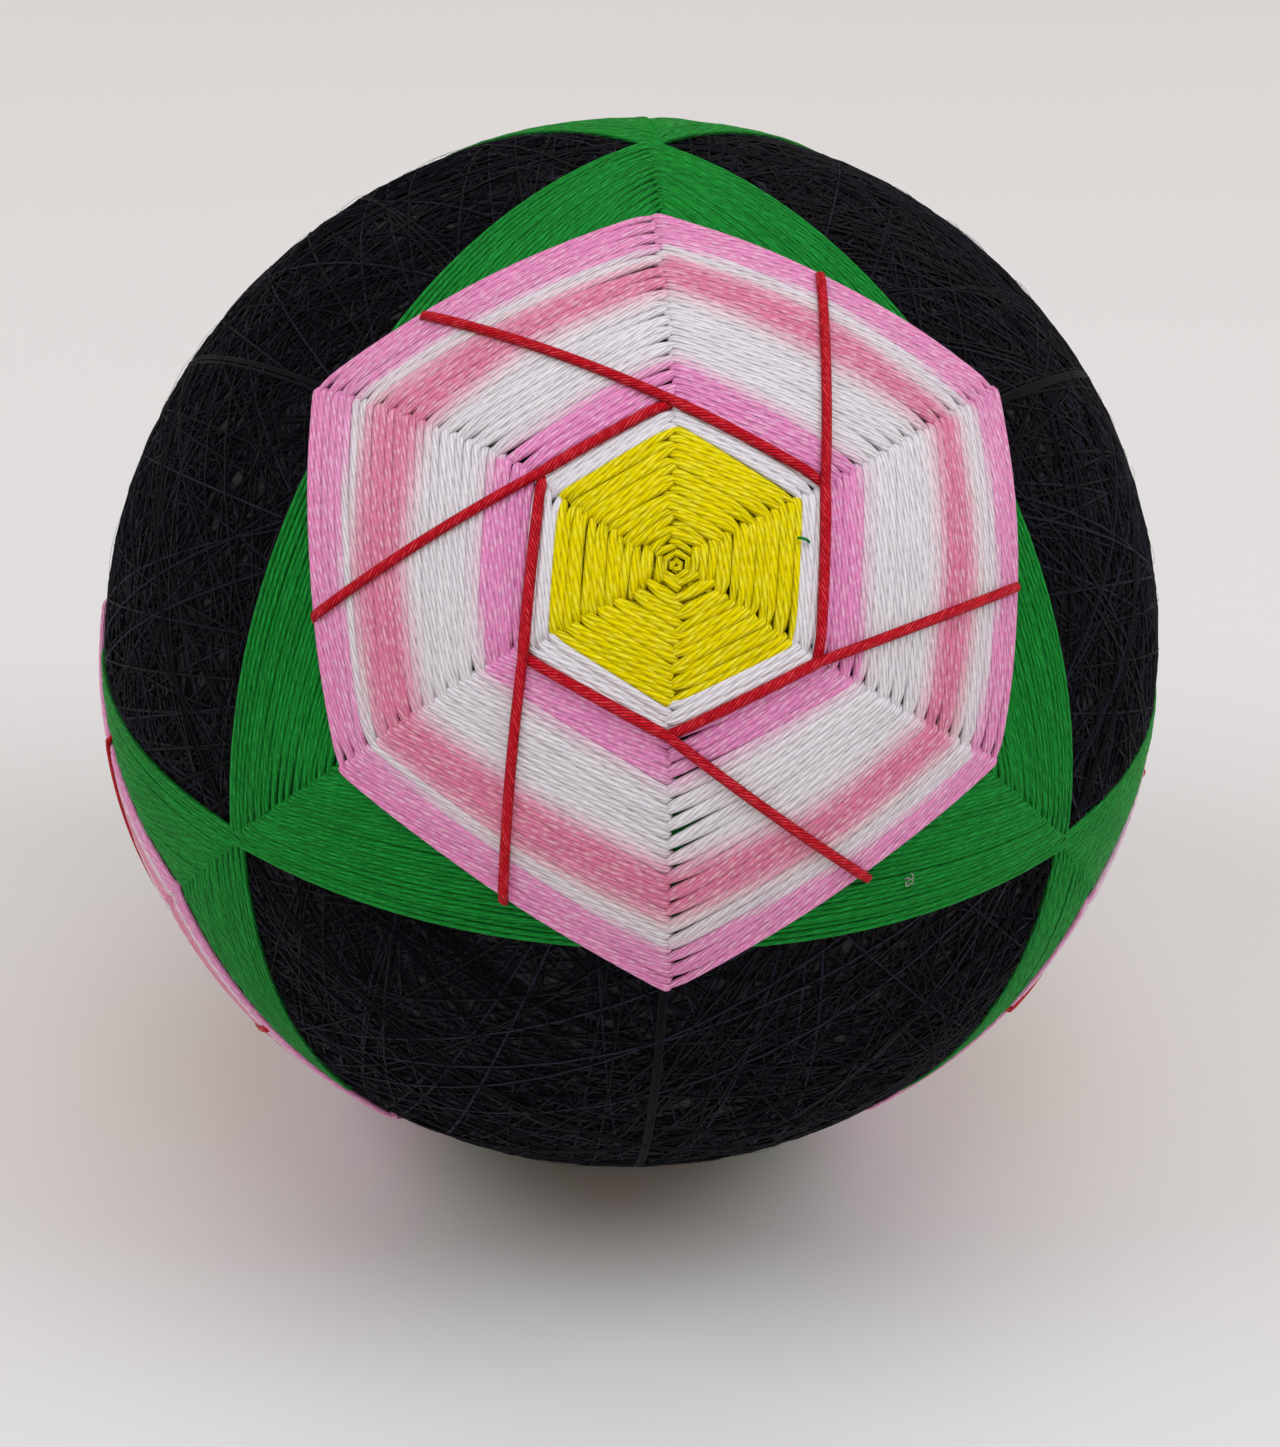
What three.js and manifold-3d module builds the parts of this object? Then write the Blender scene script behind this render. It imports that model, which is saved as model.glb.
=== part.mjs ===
// Temari ball: a ball wound with dark thread, with four stitched flowers on four green triangles.
// Millimetres, +Z up. The origin is the middle of the small flat that the ball rests on,
// and one flower looks towards -Y.
import * as THREE from 'three';
import { mergeVertices } from 'three/addons/utils/BufferGeometryUtils.js';
import Module from 'manifold-3d';

const wasm = await Module();
wasm.setup();

// Driving sizes
const ballRadius = 47.5;
const seatGap = 0.3;
const greenThickness = 0.7;
const petalThickness = 0.5;
const redCordRadius = 0.4;
const restFlatDepth = 0.4;

// Layers, as distances from the ball's centre
const greenInside = ballRadius + seatGap;
const greenOutside = greenInside + greenThickness;
const petalInside = greenOutside + seatGap;
const petalOutside = petalInside + petalThickness;
const redMiddle = petalOutside + seatGap + redCordRadius;
const restHeight = greenOutside - restFlatDepth;

// The six guide lines of a flower: three point at the triangle's tips, three at its sides.
// Angles are in degrees at the ball's centre, measured from the middle of the flower.
const guideLines = 6;
const tipOfTriangle = THREE.MathUtils.radToDeg(Math.acos(1 / Math.sqrt(3)));
const tipGapAngle = 0.3;
const greenBand = { corners: 3, inner: 34.6, outer: tipOfTriangle - tipGapAngle, bulge: 0.5 };
const yellowCentre = { outer: 12.5, dimple: 0.35, dome: 0.25 };
const whiteRound = { inner: 12.9, outer: 14.9 };
const petals = { inner: 15.3, outerAtTips: 37.46, outerAtSides: 40.81, bulge: 0.6 };
const redHexagonCorner = 15.4;

// Where each red cord starts: the share of the flower's edge from the corner before it
const redStarts = [
  { toCorner: 0, share: 0.28 },
  { toCorner: 1, share: 0.43 },
  { toCorner: 2, share: 0.5 },
  { toCorner: 3, share: 0.43 },
  { toCorner: 4, share: 0.43 },
  { toCorner: 5, share: 0.38 },
];

// Steps that the solids are divided into
const steps = {
  ball: 9,
  greenAlong: 12,
  greenAcross: 3,
  petalAlong: 6,
  petalAcross: 3,
  whiteAlong: 3,
  yellowAlong: 3,
  yellowAcross: 3,
  redSides: 6,
  redOuterRun: 5,
  redInnerRun: 3,
};

const colours = {
  dark: { color: 0x101019, roughness: 0.85 },
  green: { color: 0x1e822d, roughness: 0.7 },
  pink: { color: 0xe182be, roughness: 0.55 },
  white: { color: 0xd8d8da, roughness: 0.55 },
  yellow: { color: 0xe1cd0a, roughness: 0.5 },
  red: { color: 0xc8102a, roughness: 0.55 },
};

// The ball is divided as an octahedron: a tip at the top, one at the bottom and four around.
const tipLeft = new THREE.Vector3(-1, -1, 0).normalize();
const tipRight = new THREE.Vector3(1, -1, 0).normalize();
const tipTop = new THREE.Vector3(0, 0, 1);
const faceMiddle = new THREE.Vector3().add(tipTop).add(tipLeft).add(tipRight).normalize();
const faceUp = tipTop.clone().addScaledVector(faceMiddle, -tipTop.dot(faceMiddle)).normalize();
const faceRight = new THREE.Vector3(1, 0, 0);

// The other three flowers are the front one turned half round about an axis through the tips.
const faces = [
  { name: 'front', turn: new THREE.Quaternion() },
  { name: 'right', turn: new THREE.Quaternion().setFromAxisAngle(tipRight, Math.PI) },
  { name: 'back', turn: new THREE.Quaternion().setFromAxisAngle(tipTop, Math.PI) },
  { name: 'left', turn: new THREE.Quaternion().setFromAxisAngle(tipLeft, Math.PI) },
];

// A direction from the ball's centre: degrees away from the flower's middle, and degrees round it,
// clockwise from the top tip as seen from outside.
function direction(away, round) {
  const a = THREE.MathUtils.degToRad(away);
  const b = THREE.MathUtils.degToRad(round);
  return new THREE.Vector3()
    .addScaledVector(faceMiddle, Math.cos(a))
    .addScaledVector(faceUp, Math.sin(a) * Math.cos(b))
    .addScaledVector(faceRight, Math.sin(a) * Math.sin(b));
}

// The direction that lies the share s of the way from one direction to another, on the shortest
// line over the ball, pushed outwards from the flower by the bulge in degrees at mid way.
function alongSide(from, to, s, bulge) {
  const whole = from.angleTo(to);
  if (whole < 1e-6) {
    return from.clone();
  }
  const result = new THREE.Vector3()
    .addScaledVector(from, Math.sin((1 - s) * whole) / Math.sin(whole))
    .addScaledVector(to, Math.sin(s * whole) / Math.sin(whole));
  const push = THREE.MathUtils.degToRad(bulge) * 4 * s * (1 - s);
  const axis = new THREE.Vector3().crossVectors(faceMiddle, result).normalize();
  return result.applyAxisAngle(axis, push);
}

// One closed loop of directions round the flower: a corner at each guide line, at the angle that
// cornerAngle gives, and straight thread runs between them.
function loopOfDirections(corners, cornerAngle, along, bulge) {
  const loop = [];
  for (let k = 0; k < corners; k += 1) {
    const from = direction(cornerAngle(k), (360 / corners) * k);
    const to = direction(cornerAngle((k + 1) % corners), (360 / corners) * (k + 1));
    for (let i = 0; i < along; i += 1) {
      loop.push(alongSide(from, to, i / along, bulge));
    }
  }
  return loop;
}

// A closed shell between two sets of loops. rows run from the middle of the flower outwards, and
// each has its loop of directions, its inside radius and its outside radius. When the first row
// is a single point, the shell is closed there; otherwise it has a wall round its opening.
function shell(rows) {
  const count = rows[rows.length - 1].loop.length;
  const closedMiddle = rows[0].loop.length === 1;
  const points = [];
  const index = [];
  const starts = rows.map((row) => {
    const start = points.length;
    row.loop.forEach((d) => points.push(d.clone().multiplyScalar(row.outside)));
    row.loop.forEach((d) => points.push(d.clone().multiplyScalar(row.inside)));
    return start;
  });
  const at = (row, i, lower) => {
    const size = rows[row].loop.length;
    return starts[row] + (lower ? size : 0) + (i % size);
  };
  const triangle = (a, b, c) => {
    if (a !== b && b !== c && c !== a) {
      index.push(a, b, c);
    }
  };
  const quad = (a, b, c, d) => {
    triangle(a, b, c);
    triangle(a, c, d);
  };
  const last = rows.length - 1;
  for (let i = 0; i < count; i += 1) {
    for (let r = 0; r < last; r += 1) {
      quad(at(r, i, false), at(r, i + 1, false), at(r + 1, i + 1, false), at(r + 1, i, false));
      quad(at(r, i, true), at(r + 1, i, true), at(r + 1, i + 1, true), at(r, i + 1, true));
    }
    quad(at(last, i, false), at(last, i + 1, false), at(last, i + 1, true), at(last, i, true));
    if (!closedMiddle) {
      quad(at(0, i, true), at(0, i + 1, true), at(0, i + 1, false), at(0, i, false));
    }
  }
  return geometryFrom(points.flatMap((p) => [p.x, p.y, p.z]), index);
}

function geometryFrom(positions, index) {
  const geometry = new THREE.BufferGeometry();
  geometry.setAttribute('position', new THREE.Float32BufferAttribute(positions, 3));
  geometry.setIndex(index);
  return geometry;
}

// Joining and cutting
function toSolid(geometry) {
  const bare = new THREE.BufferGeometry();
  bare.setAttribute('position', geometry.getAttribute('position'));
  if (geometry.index) {
    bare.setIndex(geometry.index);
  }
  const merged = mergeVertices(bare, 1e-4);
  return new wasm.Manifold(new wasm.Mesh({
    numProp: 3,
    vertProperties: new Float32Array(merged.getAttribute('position').array),
    triVerts: new Uint32Array(merged.index.array),
  }));
}

function fromSolid(solid) {
  const mesh = solid.getMesh();
  return geometryFrom(Array.from(mesh.vertProperties), Array.from(mesh.triVerts));
}

// The green band: rows of thread laid in a triangle, open in the middle. The grown band is the
// same shape with the seat gap all round, and it cuts the underside of the petals.
function greenShell(grow) {
  const growAngle = THREE.MathUtils.radToDeg(grow / ballRadius);
  const first = greenBand.inner - 2 * growAngle;
  const past = greenBand.outer + 2 * growAngle;
  const rows = [];
  for (let j = 0; j <= steps.greenAcross; j += 1) {
    const angle = THREE.MathUtils.lerp(first, past, j / steps.greenAcross);
    const bulge = greenBand.bulge * (j / steps.greenAcross);
    rows.push({
      loop: loopOfDirections(greenBand.corners, () => angle, steps.greenAlong, bulge),
      inside: grow > 0 ? ballRadius - seatGap : greenInside,
      outside: greenOutside + grow,
    });
  }
  return shell(rows);
}

// The petals' edge reaches the green at the tips' guide lines (the even ones) and crosses onto
// the dark ball at the sides' guide lines.
function petalCorner(k, t) {
  const outer = k % 2 === 0 ? petals.outerAtTips : petals.outerAtSides;
  return THREE.MathUtils.lerp(petals.inner, outer, t);
}

// Petals: a six sided ring of thread rows
function petalShell() {
  const rows = [];
  for (let j = 0; j <= steps.petalAcross; j += 1) {
    const t = j / steps.petalAcross;
    const corner = (k) => petalCorner(k, t);
    rows.push({
      loop: loopOfDirections(guideLines, corner, steps.petalAlong, petals.bulge * t),
      inside: greenInside,
      outside: petalOutside,
    });
  }
  return shell(rows);
}

function petalGeometry() {
  return fromSolid(toSolid(petalShell()).subtract(toSolid(greenShell(seatGap))));
}

// One round of white thread between the yellow middle and the petals
function whiteGeometry() {
  const rows = [whiteRound.inner, whiteRound.outer].map((angle) => ({
    loop: loopOfDirections(guideLines, () => angle, steps.whiteAlong, 0),
    inside: greenInside,
    outside: petalOutside,
  }));
  return shell(rows);
}

// Yellow middle: a low dome of rounds with a dimple where they start
function yellowGeometry() {
  const rows = [{
    loop: [faceMiddle.clone()],
    inside: greenInside,
    outside: petalOutside - yellowCentre.dimple,
  }];
  for (let j = 1; j <= steps.yellowAcross; j += 1) {
    const t = j / steps.yellowAcross;
    rows.push({
      loop: loopOfDirections(guideLines, () => yellowCentre.outer * t, steps.yellowAlong, 0),
      inside: greenInside,
      outside: petalOutside + yellowCentre.dome * Math.sin(Math.PI * t),
    });
  }
  return shell(rows);
}

// The points of one red cord: from the flower's edge to its corner of the hexagon, then along the
// hexagon's side to the next corner, where the next cord lies over its end
function redCordPoints({ toCorner, share }) {
  const step = 360 / guideLines;
  const before = toCorner - 1;
  const edgeFrom = direction(petalCorner((before + guideLines) % guideLines, 1), step * before);
  const edgeTo = direction(petalCorner(toCorner, 1), step * toCorner);
  const start = alongSide(edgeFrom, edgeTo, share, petals.bulge);
  const corner = direction(redHexagonCorner, step * toCorner);
  const end = direction(redHexagonCorner, step * (toCorner + 1));
  const points = [];
  for (let i = 0; i < steps.redOuterRun; i += 1) {
    points.push(alongSide(start, corner, i / steps.redOuterRun, 0).multiplyScalar(redMiddle));
  }
  for (let i = 0; i <= steps.redInnerRun; i += 1) {
    points.push(alongSide(corner, end, i / steps.redInnerRun, 0).multiplyScalar(redMiddle));
  }
  return points;
}

// A cord is rings of points about its path, each with one flat turned to the ball, and two ends
function cordGeometry(points) {
  const positions = [];
  const index = [];
  const sides = steps.redSides;
  points.forEach((p, i) => {
    const before = points[Math.max(i - 1, 0)];
    const after = points[Math.min(i + 1, points.length - 1)];
    const ahead = after.clone().sub(before).normalize();
    const up = p.clone().normalize();
    const across = new THREE.Vector3().crossVectors(ahead, up).normalize();
    for (let s = 0; s < sides; s += 1) {
      const angle = (2 * Math.PI * s) / sides;
      const v = p.clone()
        .addScaledVector(across, Math.cos(angle) * redCordRadius)
        .addScaledVector(up, Math.sin(angle) * redCordRadius);
      positions.push(v.x, v.y, v.z);
    }
  });
  const last = points.length - 1;
  for (let i = 0; i < last; i += 1) {
    for (let s = 0; s < sides; s += 1) {
      const a = i * sides + s;
      const b = i * sides + ((s + 1) % sides);
      index.push(a, b + sides, b, a, a + sides, b + sides);
    }
  }
  for (let s = 1; s < sides - 1; s += 1) {
    index.push(0, s, s + 1);
    index.push(last * sides, last * sides + s + 1, last * sides + s);
  }
  return geometryFrom(positions, index);
}

function redGeometry() {
  const cords = redStarts.map((start) => toSolid(cordGeometry(redCordPoints(start))));
  return fromSolid(cords.reduce((joined, cord) => joined.add(cord)));
}

// The rest flat: a level cut across the two green tips at the bottom of the ball
function cutRestFlat(geometry) {
  const size = 4 * ballRadius;
  const below = new THREE.BoxGeometry(size, size, size);
  below.translate(0, 0, -restHeight - size / 2);
  return fromSolid(toSolid(geometry).subtract(toSolid(below)));
}

function piece(name, geometry, finish) {
  const mesh = new THREE.Mesh(geometry, new THREE.MeshStandardMaterial({ metalness: 0, ...finish }));
  mesh.name = name;
  return mesh;
}

const ball = new THREE.Group();
ball.position.z = restHeight;
ball.add(piece('wound_ball', new THREE.IcosahedronGeometry(ballRadius, steps.ball), colours.dark));

const bandShape = greenShell(0);
const petalShape = petalGeometry();
const whiteShape = whiteGeometry();
const yellowShape = yellowGeometry();
const redShape = redGeometry();

faces.forEach(({ name, turn }) => {
  const turned = (geometry) => geometry.clone().applyQuaternion(turn);
  const atBottom = name === 'left' || name === 'right';
  const band = atBottom ? cutRestFlat(turned(bandShape)) : turned(bandShape);
  ball.add(piece(`green_band_${name}`, band, colours.green));
  ball.add(piece(`petal_rows_${name}`, turned(petalShape), colours.pink));
  ball.add(piece(`white_round_${name}`, turned(whiteShape), colours.white));
  ball.add(piece(`yellow_centre_${name}`, turned(yellowShape), colours.yellow));
  ball.add(piece(`red_cords_${name}`, turned(redShape), colours.red));
});

const temari = new THREE.Group();
temari.add(ball);

export default temari;
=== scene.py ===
import math
import random

import bmesh
import bpy
from mathutils import Matrix, Quaternion, Vector


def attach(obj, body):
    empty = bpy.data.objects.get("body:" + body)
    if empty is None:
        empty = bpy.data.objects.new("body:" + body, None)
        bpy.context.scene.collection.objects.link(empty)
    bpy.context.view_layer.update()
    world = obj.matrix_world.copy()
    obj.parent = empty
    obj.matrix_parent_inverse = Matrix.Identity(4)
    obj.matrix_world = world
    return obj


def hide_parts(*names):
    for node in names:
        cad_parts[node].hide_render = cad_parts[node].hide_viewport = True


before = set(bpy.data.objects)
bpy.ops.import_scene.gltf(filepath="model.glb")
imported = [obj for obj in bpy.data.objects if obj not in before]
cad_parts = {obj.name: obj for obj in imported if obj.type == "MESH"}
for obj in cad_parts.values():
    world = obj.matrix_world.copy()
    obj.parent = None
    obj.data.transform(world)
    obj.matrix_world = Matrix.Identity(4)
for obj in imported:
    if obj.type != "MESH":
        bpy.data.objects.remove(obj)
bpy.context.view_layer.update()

mm = 0.001
ballCentre = Vector((0, 0, 48.1 * mm))
ballRadius = 47.5 * mm

# The ball is divided as an octahedron. A flower's six guide lines point at the triangle's tips
# (0, 2 and 4) and at the middles of its sides (1, 3 and 5), clockwise from the top.
tipTop = Vector((0, 0, 1))
tipLeft = Vector((-1, -1, 0)).normalized()
tipRight = Vector((1, -1, 0)).normalized()
tips = (tipTop, tipLeft, tipRight)
faceMiddle = (tipTop + tipLeft + tipRight).normalized()
faceUp = (tipTop - faceMiddle * tipTop.dot(faceMiddle)).normalized()
faceRight = Vector((1, 0, 0))
faces = {
    "front": Quaternion(),
    "right": Quaternion(tipRight, math.pi),
    "back": Quaternion(tipTop, math.pi),
    "left": Quaternion(tipLeft, math.pi),
}

# camera, at the photograph's angle
view = {
    "place": (-0.34903, -4.75783, 2.53691),  # from the ball's centre, in ball radii
    "azimuth": -4.41,
    "downward": 29.61,
    "roll": -2.72,
    "lens": 69.22,
    "sensor": 36,
    "clip": (0.01, 20),
}


def addObject(name, data):
    thing = bpy.data.objects.new(name, data)
    bpy.context.scene.collection.objects.link(thing)
    return thing


def makeCamera():
    azimuth = math.radians(view["azimuth"])
    downward = math.radians(view["downward"])
    roll = math.radians(view["roll"])
    ahead = Vector((-math.sin(azimuth) * math.cos(downward),
                    math.cos(azimuth) * math.cos(downward), -math.sin(downward)))
    right = ahead.cross(tipTop).normalized()
    down = ahead.cross(right)
    cameraRight = right * math.cos(roll) + down * math.sin(roll)
    cameraUp = right * math.sin(roll) - down * math.cos(roll)
    data = bpy.data.cameras.new("photoCamera")
    data.sensor_width = view["sensor"]
    data.lens = view["lens"]
    data.clip_start, data.clip_end = view["clip"]
    camera = addObject("photoCamera", data)
    turn = Matrix((cameraRight, cameraUp, -ahead)).transposed().to_4x4()
    place = ballCentre + Vector(view["place"]) * ballRadius
    camera.matrix_world = Matrix.Translation(place) @ turn
    bpy.context.scene.camera = camera


makeCamera()
bpy.context.scene.view_settings.view_transform = "Standard"
print("camera placed")

# The ball is not quite round: seen from the front, its outline stands in at the top and at the
# lower right, and out at the lower left. Amounts are in millimetres, once and twice round it.
outline = {"seenFrom": (-0.0646, -0.8806, 0.4695), "even": -0.11, "once": (-0.13, -0.26),
           "twice": (-0.17, 0.30)}
seenFrom = Vector(outline["seenFrom"]).normalized()
seenUp = (tipTop - seenFrom * seenFrom.z).normalized()
seenRight = seenUp.cross(seenFrom)


def settled(point):  # a place in millimetres from the ball's centre, moved in or out with the outline
    unit = point.normalized()
    around = math.atan2(unit.dot(seenRight), unit.dot(seenUp))
    once, twice = outline["once"], outline["twice"]
    stand = (outline["even"] + once[0] * math.cos(around) + once[1] * math.sin(around)
             + twice[0] * math.cos(2 * around) + twice[1] * math.sin(2 * around))
    return point + unit * stand * (1 - unit.dot(seenFrom) ** 2) ** 2


def settleMesh(mesh):
    for vertex in mesh.vertices:
        place = ballCentre + settled((vertex.co - ballCentre) / mm) * mm
        place.z = max(0, place.z)  # the ball rests on a small flat
        vertex.co = place


# node trees
def feed(tree, node, sources):  # links or plain values for a node's inputs, by name or by place
    for label, source in sources.items():
        if isinstance(source, bpy.types.NodeSocket):
            tree.links.new(source, node.inputs[label])
        else:
            node.inputs[label].default_value = source


def addNode(tree, kind, sources=None, **settings):
    node = tree.nodes.new(kind)
    for name, value in settings.items():
        setattr(node, name, value)
    feed(tree, node, sources or {})
    return node


def made(tree, kind, sources=None, **settings):  # what a new node gives out first
    return addNode(tree, kind, sources, **settings).outputs[0]


def calculate(tree, operation, *sources, kind="ShaderNodeMath"):
    return made(tree, kind, dict(enumerate(sources)), operation=operation)


def addSockets(tree, inputs, outputs):  # name, kind and, where there is one, the value it starts at
    for name, kind, *value in inputs:
        socket = tree.interface.new_socket(name, in_out="INPUT", socket_type="NodeSocket" + kind)
        if value:
            socket.default_value = value[0]
    for name, kind in outputs:
        tree.interface.new_socket(name, in_out="OUTPUT", socket_type="NodeSocket" + kind)
    return addNode(tree, "NodeGroupInput").outputs


def attribute(tree, name):
    return addNode(tree, "ShaderNodeAttribute", attribute_name=name).outputs["Fac"]


def mixColours(tree, factor, first, second):
    node = addNode(tree, "ShaderNodeMix", data_type="RGBA")
    places = [i for i, socket in enumerate(node.inputs) if socket.enabled]
    feed(tree, node, dict(zip(places, (factor, first, second))))
    return next(socket for socket in node.outputs if socket.enabled)


def shareBetween(tree, value, low, high):  # 0 at low and 1 at high
    return made(tree, "ShaderNodeMapRange", {"Value": value, "From Min": low, "From Max": high})


def colour(red, green, blue):  # as a screen shows it, 0 to 255
    def straight(value):
        value /= 255
        return value / 12.92 if value <= 0.04045 else ((value + 0.055) / 1.055) ** 2.4
    return (straight(red), straight(green), straight(blue), 1)


def colourAlong(tree, value, stops):
    node = addNode(tree, "ShaderNodeValToRGB", {0: value})
    ramp = node.color_ramp
    ramp.elements.remove(ramp.elements[-1])
    ramp.elements[0].position = stops[0][0]
    ramp.elements[0].color = colour(*stops[0][1])
    for place, toneAndPaintedShade in stops[1:]:
        ramp.elements.new(place).color = colour(*toneAndPaintedShade)
    return node.outputs[0]


def newMaterial(name):
    material = bpy.data.materials.new(name)
    material.use_nodes = True
    return material, material.node_tree, material.node_tree.nodes["Principled BSDF"]


# The surface of a thread of twisted strands. Each thread carries how far along it a point lies and
# where round it, so that the strands, and the fibres in them, run round the thread as it goes.
# Besides tones that differ at random, the colour holds painted shade in the grooves between strands and
# down the sides where threads meet, and painted highlights on the strands' crests, in a colour of their
# own.
threadInputs = (
    ("Colour", "Color", (0.5, 0.5, 0.5, 1)), ("Strands", "Float", 6.0),
    ("Turns per Metre", "Float", 90.0), ("Groove Width", "Float", 0.5),
    ("Groove Shade", "Float", 0.4), ("Fibre Shade", "Float", 0.2),
    ("Strand Shade", "Float", 0.1), ("Thread Shade", "Float", 0.1),
    ("Flank Shade", "Float", 0.2), ("Streak Light", "Float", 0.2),
    ("Streak Colour", "Color", (1, 1, 1, 1)), ("Base Roughness", "Float", 0.5),
    ("Fibre Roughness", "Float", 0.2),
)
# how fast each pattern changes by strand, by metre and by thread, the noise that counts, its detail; the
# second row places the painted highlights, the first breaks up the painted shade in the grooves, and the
# last two vary the colour at random
threadPatterns = {
    "dash": (3.71, 1500.0, 91.0, 0.4, 0.6, 0.0),
    "paintedGlint": (5.13, 1700.0, 37.0, 0.45, 0.7, 0.0),
    "tone": (2.37, 120.0, 63.0, 0.3, 0.7, 0.0),
    "fibre": (4.5, 420.0, 57.0, 0.3, 0.7, 1.0),
}
threadRelief = {
    "turnByThread": 5.3,  # so that no two threads start alike
    "evenGroove": 0.25,  # the share of the painted shade in a groove that the dashes don't break
    "paintedFlankShade": (0.95, 0.3),  # painted shade where threads meet, by how far up the side of a thread
    "fibreDepth": -0.25,
}


def makeThreadGroup():
    tree = bpy.data.node_groups.new("threadSurface", "ShaderNodeTree")
    given = addSockets(tree, threadInputs, (("Colour", "Color"), ("Roughness", "Float"),
                                            ("Height", "Float")))

    def work(operation, *sources):
        return calculate(tree, operation, *sources)

    along = attribute(tree, "along")
    strand = attribute(tree, "strand")
    upward = attribute(tree, "upward")
    roundThread = work("ARCTAN2", upward, attribute(tree, "sideward"))
    turn = work("MULTIPLY_ADD", along, given["Turns per Metre"], work("DIVIDE", roundThread, math.tau))
    turn = work("MULTIPLY_ADD", strand, threadRelief["turnByThread"], turn)
    helix = work("MULTIPLY", turn, given["Strands"])
    which = work("FLOOR", helix)
    fromCrest = work("ABSOLUTE", work("MULTIPLY_ADD", work("FRACT", helix), 2.0, -1.0))

    def pattern(name, across):
        *rates, low, high, detail = threadPatterns[name]
        scaled = [work("MULTIPLY", source, rate) for source, rate in zip((across, along, strand), rates)]
        place = made(tree, "ShaderNodeCombineXYZ", dict(enumerate(scaled)))
        noise = made(tree, "ShaderNodeTexNoise", {"Vector": place, "Scale": 1.0, "Detail": detail},
                     noise_dimensions="3D")
        return shareBetween(tree, noise, low, high)

    fibre = pattern("fibre", helix)
    # painted shade in the grooves between strands, broken up by the dashes
    paintedGrooveShade = shareBetween(tree, fromCrest, work("SUBTRACT", 1.0, given["Groove Width"]), 1.0)
    even = threadRelief["evenGroove"]
    paintedGrooveShade = work("MULTIPLY", paintedGrooveShade, work("MULTIPLY_ADD", pattern("dash", which), 1 - even, even))
    # painted shade down the sides of a thread, where it meets its neighbours
    paintedFlankShade = shareBetween(tree, upward, *threadRelief["paintedFlankShade"])
    # painted shade in the grooves and down the flanks, multiplied with tones that differ at random by
    # fibre, strand and thread
    toneAndShadeMasks = {"Groove Shade": paintedGrooveShade, "Fibre Shade": fibre, "Strand Shade": pattern("tone", which),
             "Thread Shade": strand, "Flank Shade": paintedFlankShade}
    toneAndShadeFactors = [work("SUBTRACT", 1.0, work("MULTIPLY", given[label], toneAndShadeMasks[label])) for label in toneAndShadeMasks]
    toneAndPaintedShade = toneAndShadeFactors[0]
    for another in toneAndShadeFactors[1:]:
        toneAndPaintedShade = work("MULTIPLY", toneAndPaintedShade, another)
    tint = made(tree, "ShaderNodeVectorMath", {0: given["Colour"], "Scale": toneAndPaintedShade}, operation="SCALE")
    # a painted highlight on the strands' crests, mixed in towards the streak colour
    paintedHighlightShare = work("MULTIPLY", pattern("paintedGlint", which), work("SUBTRACT", 1.0, fromCrest))
    paintedHighlightShare = work("MULTIPLY", paintedHighlightShare, given["Streak Light"])
    crest = work("SUBTRACT", 1.0, work("POWER", fromCrest, 2.0))
    addNode(tree, "NodeGroupOutput", {
        "Colour": mixColours(tree, paintedHighlightShare, tint, given["Streak Colour"]),
        "Roughness": work("MULTIPLY_ADD", fibre, given["Fibre Roughness"], given["Base Roughness"]),
        "Height": work("MULTIPLY_ADD", fibre, threadRelief["fibreDepth"], crest)})
    return tree


threadGroup = makeThreadGroup()


def threadMaterial(name, finish, dyedBy=None, colours=None):
    material, tree, shader = newMaterial(name)
    sources = dict(finish["surface"])
    if colours:
        sources["Colour"] = colourAlong(tree, attribute(tree, dyedBy), colours)
    surface = addNode(tree, "ShaderNodeGroup", sources, node_tree=threadGroup).outputs
    bump = made(tree, "ShaderNodeBump", {"Strength": finish["bumpStrength"],
                                         "Distance": finish["bumpHeight"], "Height": surface["Height"]})
    feed(tree, shader, {"Normal": bump, "Base Color": surface["Colour"],
                        "Roughness": surface["Roughness"], **finish["shader"]})
    return material


def storeValue(tree, geometry, name, value):
    return made(tree, "GeometryNodeStoreNamedAttribute",
                {"Name": name, "Geometry": geometry, "Value": value}, data_type="FLOAT", domain="POINT")


def storeAlong(tree, curve):  # how far along its thread a point lies, in metres
    length = addNode(tree, "GeometryNodeSplineParameter").outputs["Length"]
    return storeValue(tree, curve, "along", length)


def namedValue(tree, name):
    return made(tree, "GeometryNodeInputNamedAttribute", {"Name": name}, data_type="FLOAT")


def circle(tree, resolution, radius):
    return made(tree, "GeometryNodeCurvePrimitiveCircle", {"Resolution": resolution, "Radius": radius})


def sweep(tree, curve, profile, scale=1.0):
    return made(tree, "GeometryNodeCurveToMesh", {"Curve": curve, "Profile Curve": profile,
                                                  "Scale": scale, "Fill Caps": True})


def finishTree(tree, geometry, material):
    smooth = made(tree, "GeometryNodeSetShadeSmooth", {0: geometry})
    real = made(tree, "GeometryNodeRealizeInstances", {0: smooth})
    finished = made(tree, "GeometryNodeSetMaterial", {0: real, "Material": material})
    addNode(tree, "NodeGroupOutput", {0: finished})
    return tree


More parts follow.
